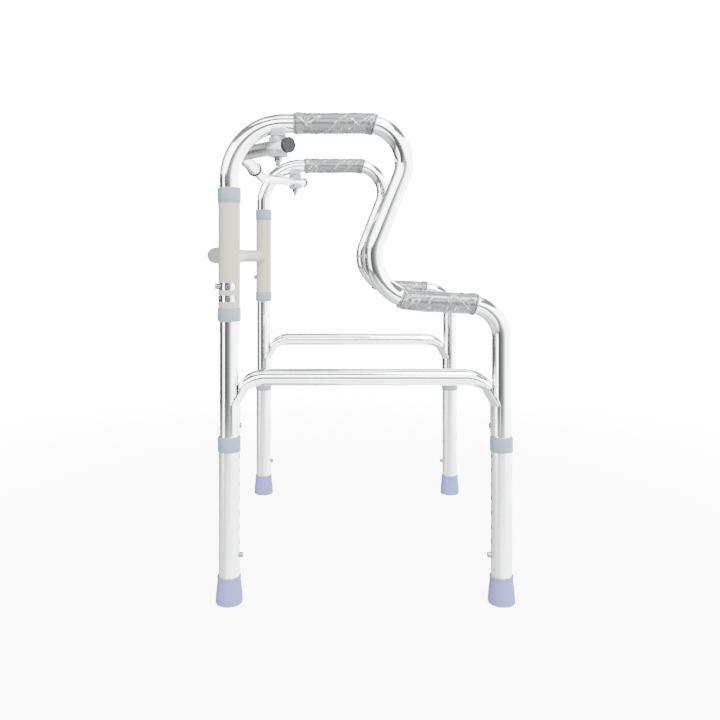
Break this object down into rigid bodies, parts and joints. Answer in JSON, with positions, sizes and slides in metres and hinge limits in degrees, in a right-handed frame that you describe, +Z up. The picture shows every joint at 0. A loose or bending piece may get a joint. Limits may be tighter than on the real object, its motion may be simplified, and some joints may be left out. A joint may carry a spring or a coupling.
{
  "type": "folding walking frame",
  "caption": "Folding aluminium walking frame with upper and lower hand grips, adjustable legs, side braces and rubber feet",
  "frame": {"origin": "Middle of the bounding box in plan, on the floor under the rubber feet", "axes": "+Z is up. +X points back to the user, so the cross bar is at -X. The side frame at -Y is called left and the one at +Y right."},
  "size_m": [0.4678, 0.5732, 0.7224],
  "materials": {
    "black_plug": "moulded black",
    "bright_aluminium": "bright polished extruded tube",
    "clamp_plastic": "moulded, pale grey",
    "collar_plastic": "moulded, light blue-grey",
    "foot_rubber": "matt lavender-grey rubber",
    "grip_foam": "soft grey foam in a clear crinkled film",
    "painted_bar": "beige-grey powder coat, semi-matt",
    "ring_plastic": "moulded, white-grey",
    "spring_steel": "blued spring strip",
    "zinc_steel": "bright plated steel"
  },
  "bodies": {
    "front_bar": {"front_cross_tube": "painted_bar", "left_post_sleeve": "painted_bar", "left_sleeve_lower_collar": "collar_plastic", "left_sleeve_upper_collar": "collar_plastic", "right_post_sleeve": "painted_bar", "right_sleeve_lower_collar": "collar_plastic", "right_sleeve_upper_collar": "collar_plastic"},
    "left_front_leg": {"left_front_leg_tube": "bright_aluminium", "left_front_leg_collar": "collar_plastic", "left_front_foot": "foot_rubber"},
    "left_front_clip": {"left_front_snap_clip": "spring_steel"},
    "left_rear_leg": {"left_rear_leg_tube": "bright_aluminium", "left_rear_leg_collar": "collar_plastic", "left_rear_foot": "foot_rubber"},
    "left_rear_clip": {"left_rear_snap_clip": "spring_steel"},
    "left_button": {"left_fold_button": "zinc_steel"},
    "left_frame": {"left_frame_tube": "bright_aluminium", "left_upper_grip": "grip_foam", "left_lower_grip": "grip_foam", "left_side_brace": "bright_aluminium", "left_front_brace_rivet": "zinc_steel", "left_rear_brace_rivet": "zinc_steel", "left_handle_saddle": "clamp_plastic", "left_guide_pin": "zinc_steel", "left_fold_spring": "spring_steel", "left_clamp_bolt": "zinc_steel", "left_clamp_washer": "zinc_steel", "left_cap_nut": "zinc_steel"},
    "left_arm": {"left_brace_arm": "bright_aluminium", "left_arm_plug": "black_plug", "left_arm_upper_saddle": "clamp_plastic", "left_arm_lower_saddle": "clamp_plastic", "brace_mouth_ring": "ring_plastic"},
    "right_front_leg": {"right_front_leg_tube": "bright_aluminium", "right_front_leg_collar": "collar_plastic", "right_front_foot": "foot_rubber"},
    "right_front_clip": {"right_front_snap_clip": "spring_steel"},
    "right_rear_leg": {"right_rear_leg_tube": "bright_aluminium", "right_rear_leg_collar": "collar_plastic", "right_rear_foot": "foot_rubber"},
    "right_rear_clip": {"right_rear_snap_clip": "spring_steel"},
    "right_button": {"right_fold_button": "zinc_steel"},
    "right_frame": {"right_frame_tube": "bright_aluminium", "right_upper_grip": "grip_foam", "right_lower_grip": "grip_foam", "right_side_brace": "bright_aluminium", "right_front_brace_rivet": "zinc_steel", "right_rear_brace_rivet": "zinc_steel", "right_handle_saddle": "clamp_plastic", "right_guide_pin": "zinc_steel", "right_fold_spring": "spring_steel", "right_clamp_bolt": "zinc_steel"},
    "right_arm": {"right_brace_arm": "bright_aluminium", "right_arm_plug": "black_plug", "right_arm_upper_saddle": "clamp_plastic", "right_arm_lower_saddle": "clamp_plastic", "right_clamp_washer": "zinc_steel", "right_cap_nut": "zinc_steel", "right_clamp_stem": "zinc_steel"}
  },
  "joints": [
    {"name": "left_fold", "type": "hinge", "parent": "front_bar", "child": "left_frame", "pos_m": [-0.18755, -0.2575, 0.511], "axis": [0, 0, 1], "range_deg": [0, 90]},
    {"name": "right_fold", "type": "hinge", "parent": "front_bar", "child": "right_frame", "pos_m": [-0.18755, 0.2575, 0.511], "axis": [0, 0, -1], "range_deg": [0, 75]},
    {"name": "brace_turn", "type": "hinge", "parent": "left_frame", "child": "left_arm", "pos_m": [-0.11555, -0.2575, 0.671], "axis": [0, 0, 1], "range_deg": [-99.37, 0]},
    {"name": "brace_slide", "type": "slide", "parent": "left_arm", "child": "right_arm", "axis": [0, -1, 0], "range_m": [0, 0.06713]},
    {"name": "left_front_leg_slide", "type": "slide", "parent": "left_frame", "child": "left_front_leg", "axis": [0, 0, -1], "range_m": [0, 0.147], "deforming": ["left_front_snap_clip"]},
    {"name": "left_front_clip_press", "type": "slide", "parent": "left_frame", "child": "left_front_clip", "axis": [-1, 0, 0], "range_m": [0, 0.006], "stiffness_N_per_m": 700, "springref_m": -0.002, "deforming": ["left_front_snap_clip"]},
    {"name": "left_rear_leg_slide", "type": "slide", "parent": "left_frame", "child": "left_rear_leg", "axis": [0, 0, -1], "range_m": [0, 0.147], "deforming": ["left_rear_snap_clip"]},
    {"name": "left_rear_clip_press", "type": "slide", "parent": "left_frame", "child": "left_rear_clip", "axis": [1, 0, 0], "range_m": [0, 0.006], "stiffness_N_per_m": 700, "springref_m": -0.002, "deforming": ["left_rear_snap_clip"]},
    {"name": "left_button_press", "type": "slide", "parent": "left_frame", "child": "left_button", "axis": [1, 0, 0], "range_m": [0, 0.005], "stiffness_N_per_m": 700, "springref_m": -0.002, "deforming": ["left_fold_spring"]},
    {"name": "right_front_leg_slide", "type": "slide", "parent": "right_frame", "child": "right_front_leg", "axis": [0, 0, -1], "range_m": [0, 0.147], "deforming": ["right_front_snap_clip"]},
    {"name": "right_front_clip_press", "type": "slide", "parent": "right_frame", "child": "right_front_clip", "axis": [-1, 0, 0], "range_m": [0, 0.006], "stiffness_N_per_m": 700, "springref_m": -0.002, "deforming": ["right_front_snap_clip"]},
    {"name": "right_rear_leg_slide", "type": "slide", "parent": "right_frame", "child": "right_rear_leg", "axis": [0, 0, -1], "range_m": [0, 0.147], "deforming": ["right_rear_snap_clip"]},
    {"name": "right_rear_clip_press", "type": "slide", "parent": "right_frame", "child": "right_rear_clip", "axis": [1, 0, 0], "range_m": [0, 0.006], "stiffness_N_per_m": 700, "springref_m": -0.002, "deforming": ["right_rear_snap_clip"]},
    {"name": "right_button_press", "type": "slide", "parent": "right_frame", "child": "right_button", "axis": [1, 0, 0], "range_m": [0, 0.005], "stiffness_N_per_m": 700, "springref_m": -0.002, "deforming": ["right_fold_spring"]}
  ],
  "couplings": [
    {"joint": "brace_turn", "follows": "left_fold", "ratio": -1.1019},
    {"joint": "brace_slide", "follows": "left_fold", "m_per_rad": 0.042543}
  ]
}
